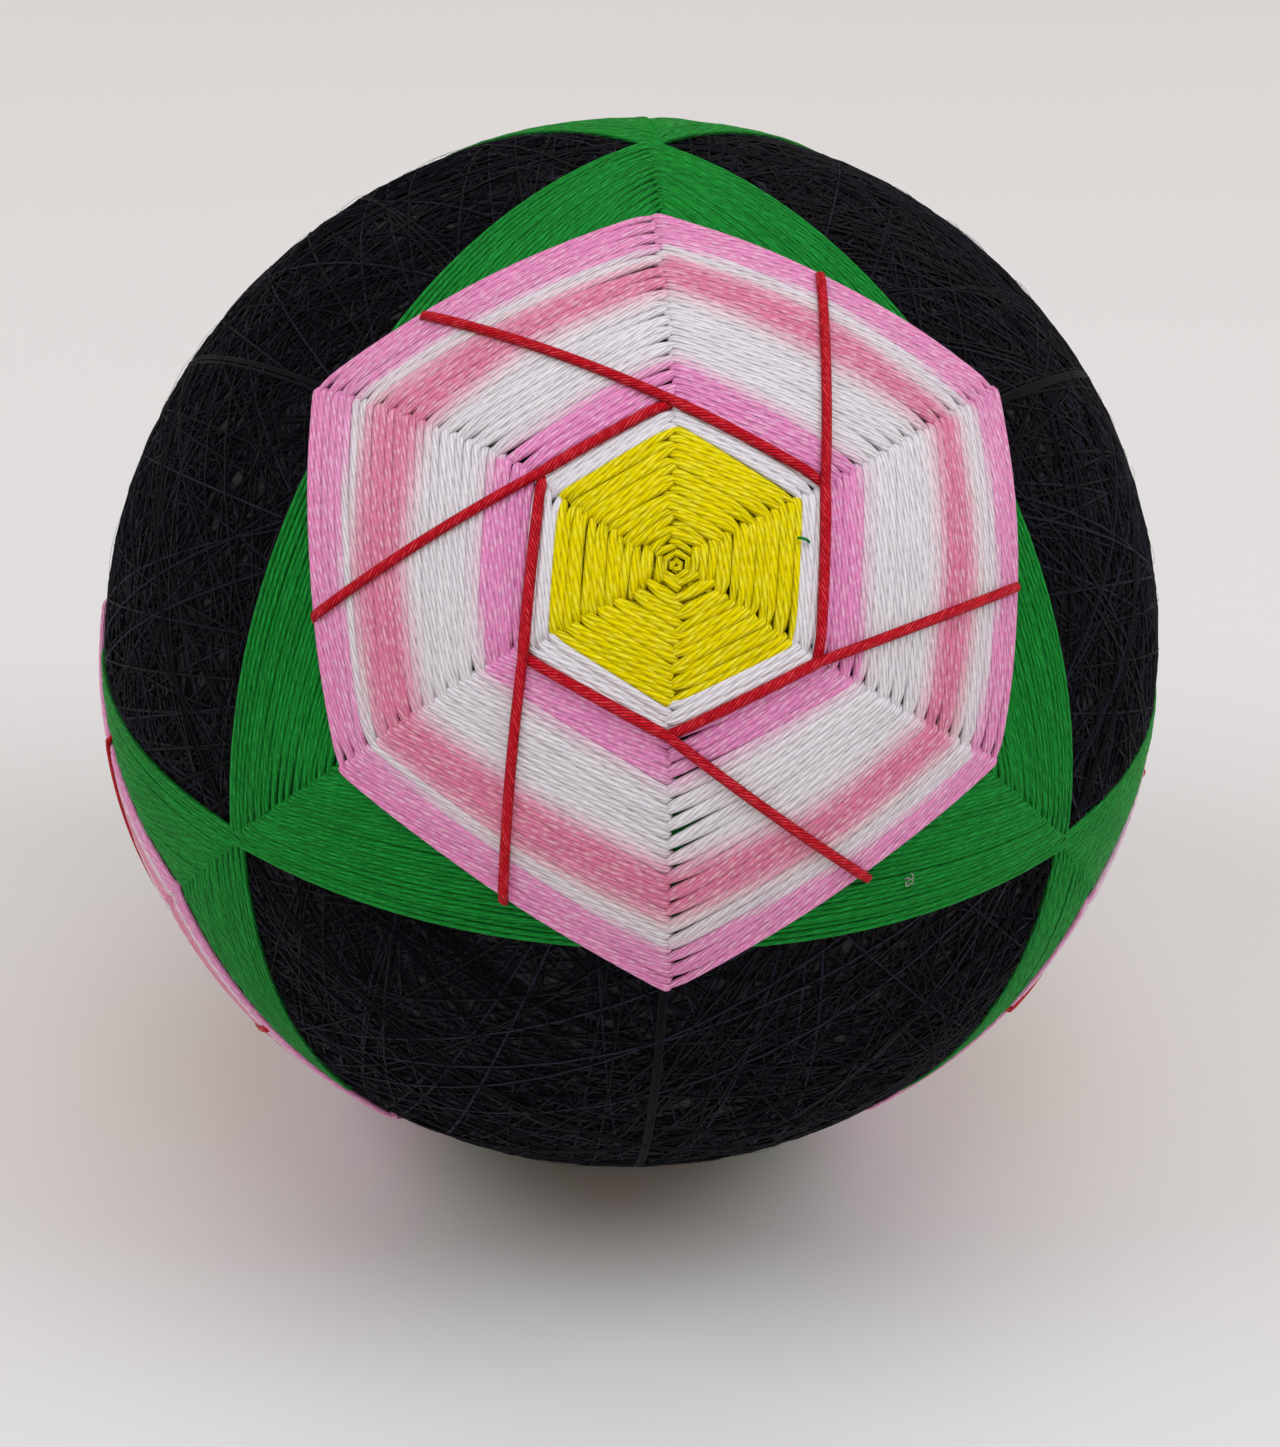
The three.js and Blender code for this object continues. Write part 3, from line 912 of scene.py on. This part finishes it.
def redLines(face):
    rng = seeded(redCords, face)
    lines = newLines()
    layer, spacing = redCords["layer"], redCords["spacing"]
    pressed = petalThreads["pressed"][face] + redCords["pressed"][face]
    deep, diveLength = redCords["startDive"]
    endDeep, endFrom, endTo = redCords["endDive"]
    thin, thinLength = redCords["startSize"]
    corners = [direction(away, 60 * k + turn) for k, (away, turn) in enumerate(redCords["corners"])]
    for corner in range(6):
        away, around = redCords["outerEnds"][face][corner]
        start = direction(away + redCords["beyond"], around)
        turning = corners[corner]
        end = corners[(corner + 1) % 6]
        points = []
        sizes = []
        outward = start.angle(turning) * layer
        bow = rng.uniform(-redCords["bow"], redCords["bow"])
        count = int(outward / spacing)
        for i in range(count + 1):
            share = i / count
            d = share * outward
            place = start.slerp(turning, share)
            aside = place.cross(turning).normalized() if i < count else Vector()
            place = (place * layer + aside * bow * math.sin(math.pi * share)).normalized()
            low = deep * easeBetween(diveLength, 0, d) + redCords["sag"][0] * math.sin(math.pi * share)
            low += pressed + sunkAt(face, place)
            points.append(place * (layer - low))
            sizes.append(mix(thin, 1, easeBetween(0, thinLength, d)))
        inner = turning.angle(end) * layer
        count = int(inner / spacing)
        for i in range(1, count + 1):
            share = i / count
            low = redCords["sag"][1] * math.sin(math.pi * share)
            low += endDeep * easeBetween(endFrom, endTo, inner * (1 - share)) + pressed
            points.append(turning.slerp(end, share) * (layer - low))
            sizes.append(mix(*redCords["innerSizes"], share))
        addLine(lines, points, rng.random(), size=sizes)
    turnTo(face, lines)
    return lines


# the groove and flank values paint shade, and the streak light paints highlights in a lighter red
redFinish = {
    "surface": {"Colour": colour(232, 4, 38), "Strands": 10.0, "Turns per Metre": -200.0,
                "Groove Shade": 0.62, "Strand Shade": 0.12, "Thread Shade": 0.03,
                "Flank Shade": 0.35, "Streak Light": 0.75, "Streak Colour": colour(255, 74, 88),
                "Base Roughness": 0.4},
    "bumpStrength": 1.0,
    "bumpHeight": 0.13 * mm,
    "shader": {"Sheen Weight": 0.0, "Specular IOR Level": 0.35, "Specular Tint": (1, 0.35, 0.35, 1)},
}
redMaterial = threadMaterial("redCord", redFinish)
for name in faces:
    piece = threadPiece("redCords_" + name, redLines(name), redCords["tube"], redMaterial)
    keep(piece, "red_thread", "red_cords_" + name)


# the dark thread wound over the ball in every direction
winding = {"Turns": 1000, "Points": 60, "Seed": 21, "Layer": 47.42 * mm, "Spread": 0.2 * mm,
           "Thread Radius": 0.13 * mm, "Hidden Margin": 0.05}
windingWander = {"byTurn": 300.0, "scale": 45.0, "detail": 1.0}


def makeWindingTree():
    tree = bpy.data.node_groups.new("windingOverBall", "GeometryNodeTree")
    given = addSockets(tree, (("Geometry", "Geometry"), ("Turns", "Int"), ("Points", "Int"),
                              ("Seed", "Int"), ("Layer", "Float"), ("Spread", "Float"),
                              ("Thread Radius", "Float"), ("Hidden Margin", "Float"),
                              ("Centre", "Vector"), ("Finish", "Material")),
                       (("Geometry", "Geometry"),))

    def work(operation, *sources):
        return calculate(tree, operation, *sources)

    def randomValue(low, high, offset):
        node = addNode(tree, "FunctionNodeRandomValue", {"Seed": work("ADD", given["Seed"], offset)},
                       data_type="FLOAT")
        limits = [s for s in node.inputs if s.enabled and s.name in ("Min", "Max")]
        limits[0].default_value = low
        limits[1].default_value = high
        return next(s for s in node.outputs if s.enabled)

    points = made(tree, "GeometryNodePoints", {"Count": given["Turns"]})
    marked = storeValue(tree, points, "strand", randomValue(0.0, 1.0, 1))
    marked = storeValue(tree, marked, "lift", randomValue(-1.0, 1.0, 2))
    tilt = made(tree, "ShaderNodeCombineXYZ", {0: work("ARCCOSINE", randomValue(-1.0, 1.0, 3)),
                                               2: randomValue(0.0, math.tau, 4)})
    turned = made(tree, "FunctionNodeEulerToRotation", {0: tilt})
    ring = circle(tree, given["Points"], given["Layer"])
    wound = made(tree, "GeometryNodeInstanceOnPoints",
                 {"Points": marked, "Instance": ring, "Rotation": turned})
    real = made(tree, "GeometryNodeRealizeInstances", {0: wound})

    # each turn lies at its own depth, and wanders a little
    place = made(tree, "GeometryNodeInputPosition")
    outward = calculate(tree, "NORMALIZE", place, kind="ShaderNodeVectorMath")
    turnShift = work("MULTIPLY", namedValue(tree, "strand"), windingWander["byTurn"])
    wander = made(tree, "ShaderNodeTexNoise",
                  {"Vector": place, "W": turnShift, "Scale": windingWander["scale"],
                   "Detail": windingWander["detail"]}, noise_dimensions="4D")
    depth = work("ADD", namedValue(tree, "lift"), work("SUBTRACT", wander, 0.5))
    up = made(tree, "ShaderNodeVectorMath",
              {0: outward, "Scale": work("MULTIPLY", depth, given["Spread"])}, operation="SCALE")
    moved = made(tree, "GeometryNodeSetPosition", {0: real, "Offset": up})

    # only what the flowers leave open is kept
    shares = [addNode(tree, "ShaderNodeVectorMath", {0: outward, 1: tuple(tip)},
                      operation="DOT_PRODUCT").outputs["Value"] for tip in tips]
    product = work("MULTIPLY", work("MULTIPLY", shares[0], shares[1]), shares[2])
    sizes = [work("ABSOLUTE", share) for share in shares]
    least = work("MINIMUM", sizes[0], work("MINIMUM", sizes[1], sizes[2]))
    hidden = work("MULTIPLY", work("GREATER_THAN", product, 0.0),
                  work("GREATER_THAN", least, given["Hidden Margin"]))
    edges = made(tree, "GeometryNodeCurveToMesh", {0: moved})
    shown = made(tree, "GeometryNodeDeleteGeometry", {0: edges, "Selection": hidden}, domain="POINT")
    curves = made(tree, "GeometryNodeMeshToCurve", {0: shown})
    tube = sweep(tree, storeAlong(tree, curves), circle(tree, 3, given["Thread Radius"]))
    placed = made(tree, "GeometryNodeTransform", {0: tube, "Translation": given["Centre"]})
    return finishTree(tree, placed, given["Finish"])


# the groove value and the flank value it keeps at its start paint shade; no highlight is painted
darkFinish = {
    "surface": {"Strands": 2.0, "Turns per Metre": 900.0, "Groove Shade": 0.2, "Fibre Shade": 0.3,
                "Strand Shade": 0.2, "Thread Shade": 0.0, "Streak Light": 0.0, "Base Roughness": 0.6},
    "bumpStrength": 0.2,
    "bumpHeight": 0.03 * mm,
    "shader": {"Sheen Weight": 0.03, "Sheen Roughness": 0.5, "Specular IOR Level": 0.06},
}
darkColours = ((0.0, (8, 8, 15)), (0.6, (13, 13, 24)), (0.85, (24, 24, 40)), (1.0, (44, 44, 64)))
darkMaterial = threadMaterial("darkWinding", darkFinish, "strand", darkColours)
piece = addObject("windingThreads", bpy.data.meshes.new("windingThreads"))
applyTree(piece, makeWindingTree(), {**winding, "Centre": tuple(ballCentre), "Finish": darkMaterial})
keep(piece, "dark_thread", "wound_ball")

# the dark guide threads, and the short fibres that stand off the winding
guideThreads = {
    "layer": 47.6,
    "heightSpread": 0.02,
    "offsets": (-0.24, 0.0, 0.24),
    "drift": 0.05,
    "step": 2.5,  # degrees
    "tones": (0.5, 0.58),
    "seed": 33,
    "tube": {"Half Width": 0.15 * mm, "Half Height": 0.13 * mm, "Sides": 5},
}
looseFibres = {
    "count": 760,
    "points": 7,
    "layer": 47.6,
    "length": (1.5, 6.5),
    "rise": (0.06, 0.34),
    "arch": (0.15, 0.7),  # where on a half wave a fibre starts, and how much of it there is
    "bend": 0.25,
    "tones": (0.75, 1.0),
    "seed": 33,
    "tube": {"Half Width": 0.018 * mm, "Half Height": 0.018 * mm, "Sides": 3},
}
# a scrap of white lint on the front's green
lint = {"place": (38.9, 140.4), "spread": (0.15, 0.25), "curls": 4, "points": 9, "turning": 0.75,
        "step": (0.12, 0.2), "layer": 48.1, "rise": 0.2, "size": 3.4}


def onDarkFace(unit):
    return unit.dot(tipTop) * unit.dot(tipLeft) * unit.dot(tipRight) < 0


def guideLines():
    rng = random.Random(guideThreads["seed"])
    lines = newLines()
    layer = guideThreads["layer"]
    count = int(360 / guideThreads["step"])
    for a, b in ((0, 1), (0, 2), (1, 2)):
        for sign in (-1, 1):
            across = (tips[a] + tips[b] * sign).normalized()
            along = (tips[a] - tips[b] * sign).normalized()
            side = tips[3 - a - b]
            for offset in guideThreads["offsets"]:
                shift = across * (offset + rng.gauss(0, guideThreads["drift"]))
                stretch = []  # from one flower's triangle to the next
                for i in range(count + 1):
                    angle = math.tau * i / count
                    unit = along * math.cos(angle) + side * math.sin(angle)
                    if i < count and onDarkFace(unit):
                        height = layer + rng.gauss(0, guideThreads["heightSpread"])
                        stretch.append((unit * layer + shift).normalized() * height)
                        continue
                    if len(stretch) > 1:
                        strand = rng.random()
                        tone = rng.uniform(*guideThreads["tones"])
                        addLine(lines, stretch, strand, [tone] * len(stretch))
                    stretch = []
    return lines


def anyDirection(rng):
    return Vector((rng.gauss(0, 1), rng.gauss(0, 1), rng.gauss(0, 1)))


def fibreLines():
    rng = random.Random(looseFibres["seed"])
    lines = newLines()
    layer, count = looseFibres["layer"], looseFibres["points"]
    archStart, archPart = looseFibres["arch"]
    while len(lines["edges"]) < looseFibres["count"] * (count - 1):
        unit = anyDirection(rng).normalized()
        if not onDarkFace(unit):
            continue
        ahead = unit.cross(anyDirection(rng)).normalized()
        length = rng.uniform(*looseFibres["length"])
        rise = rng.uniform(*looseFibres["rise"])
        bend = rng.gauss(0, looseFibres["bend"])
        points = []
        for i in range(count):
            s = i / (count - 1)
            place = unit * layer + ahead * length * s + unit.cross(ahead) * bend * length * s * s
            height = layer + rise * math.sin(math.pi * (archStart + archPart * s))
            points.append(place.normalized() * height)
        tone = rng.uniform(*looseFibres["tones"])
        addLine(lines, points, rng.random(), [tone] * count)

    count = lint["points"]
    for i in range(lint["curls"]):
        points = []
        away, around = (middle + rng.gauss(0, spread)
                        for middle, spread in zip(lint["place"], lint["spread"]))
        heading = rng.uniform(0, math.tau)
        for j in range(count):
            heading += rng.gauss(0, lint["turning"])
            away += lint["step"][0] * math.cos(heading)
            around += lint["step"][1] * math.sin(heading)
            height = lint["layer"] + lint["rise"] * math.sin(math.pi * j / (count - 1))
            points.append(direction(away, around) * height)
        addLine(lines, points, 0.5, [0.0] * count, [lint["size"]] * count)
    return lines


# the lint, then the guide threads, then the fibres
fibreColours = ((0.0, (214, 214, 206)), (0.3, (214, 214, 206)), (0.5, (12, 12, 19)),
                (0.75, (26, 26, 36)), (1.0, (74, 74, 88)))
fibreMaterial = threadMaterial("darkFibre", darkFinish, "dye", fibreColours)
keep(threadPiece("guideThreads", guideLines(), guideThreads["tube"], fibreMaterial),
     "dark_thread", "wound_ball")
keep(threadPiece("looseFibres", fibreLines(), looseFibres["tube"], fibreMaterial),
     "dark_thread", "wound_ball")


def smoothMesh(mesh):
    mesh.polygons.foreach_set("use_smooth", [True] * len(mesh.polygons))


def speckledMaterial(settings):  # two near colours in a fine noise, raised where there is a bump
    material, tree, shader = newMaterial(settings["material"])
    place = addNode(tree, "ShaderNodeTexCoord").outputs["Object"]
    noise = made(tree, "ShaderNodeTexNoise", {"Vector": place, "Scale": settings["scale"]})
    feed(tree, shader, {"Base Color": mixColours(tree, noise, *settings["colours"]),
                        "Roughness": settings["roughness"]})
    if "bumpHeight" in settings:
        bump = made(tree, "ShaderNodeBump", {"Distance": settings["bumpHeight"], "Height": noise})
        feed(tree, shader, {"Normal": bump})
    return material


# the core, which shows as a dark ground between the turns
core = {
    "radius": 47.3 * mm,
    "detail": 6,
    "material": "darkCore",
    "scale": 1400,
    "colours": (colour(4, 4, 7), colour(14, 14, 22)),
    "roughness": 0.8,
    "bumpHeight": 0.1 * mm,
}


def makeCore():
    builder = bmesh.new()
    bmesh.ops.create_icosphere(builder, subdivisions=core["detail"], radius=core["radius"],
                               matrix=Matrix.Translation(ballCentre))
    mesh = bpy.data.meshes.new("woundCore")
    builder.to_mesh(mesh)
    builder.free()
    settleMesh(mesh)
    smoothMesh(mesh)
    mesh.materials.append(speckledMaterial(core))
    return addObject("woundCore", mesh)


keep(makeCore(), "dark_thread", "wound_ball")


# a floor that is flat under the ball and turns up all round far behind it
floor = {
    "flat": 1.7,
    "curve": 0.35,
    "curveSteps": 12,
    "rise": 0.5,
    "around": 96,
    "material": "palePaper",
    "scale": 6,
    "colours": (colour(230, 231, 233), colour(233, 234, 236)),
    "roughness": 0.7,
}


def makeFloor():
    flat, curve, steps = floor["flat"], floor["curve"], floor["curveSteps"]
    profile = [(flat, 0.0)]
    for i in range(1, steps + 1):
        angle = math.radians(90 * i / steps)
        profile.append((flat + curve * math.sin(angle), curve - curve * math.cos(angle)))
    profile.append((flat + curve, floor["rise"]))
    around, count = floor["around"], len(profile)
    points = [(0, 0, 0)]
    panels = []
    for i in range(around):
        angle = math.tau * i / around
        points += [(away * math.cos(angle), away * math.sin(angle), height) for away, height in profile]
        here = 1 + i * count
        after = 1 + (i + 1) % around * count
        panels.append((0, here, after))
        panels += [(here + k, here + k + 1, after + k + 1, after + k) for k in range(count - 1)]
    mesh = bpy.data.meshes.new("paperFloor")
    mesh.from_pydata(points, [], panels)
    smoothMesh(mesh)
    mesh.materials.append(speckledMaterial(floor))
    addObject("paperFloor", mesh)


makeFloor()

lamps = {
    "topLight": {"place": (0.05, -0.15, 1.44), "size": 1.1, "power": 5.2},
    "rightLight": {"place": (1.0, -0.25, 1.1), "size": 0.8, "power": 5.9},
    "leftLight": {"place": (-1.0, -0.25, 1.1), "size": 0.8, "power": 5.2},
}
lampColour = (0.9, 1.0, 1.08)
lampAim = Vector((0, 0, 0.05))
room = {"colour": (1.0, 0.8, 0.66, 1), "strength": 0.48}

for name, lamp in lamps.items():
    data = bpy.data.lights.new(name, "AREA")
    data.shape = "DISK"
    data.size = lamp["size"]
    data.energy = lamp["power"]
    data.color = lampColour
    light = addObject(name, data)
    light.location = lamp["place"]
    light.rotation_euler = (lampAim - Vector(lamp["place"])).to_track_quat("-Z", "Y").to_euler()
world = bpy.data.worlds.new("softRoom")
world.use_nodes = True
world.node_tree.nodes["Background"].inputs[0].default_value = room["colour"]
world.node_tree.nodes["Background"].inputs[1].default_value = room["strength"]
bpy.context.scene.world = world
print("floor and lights placed")
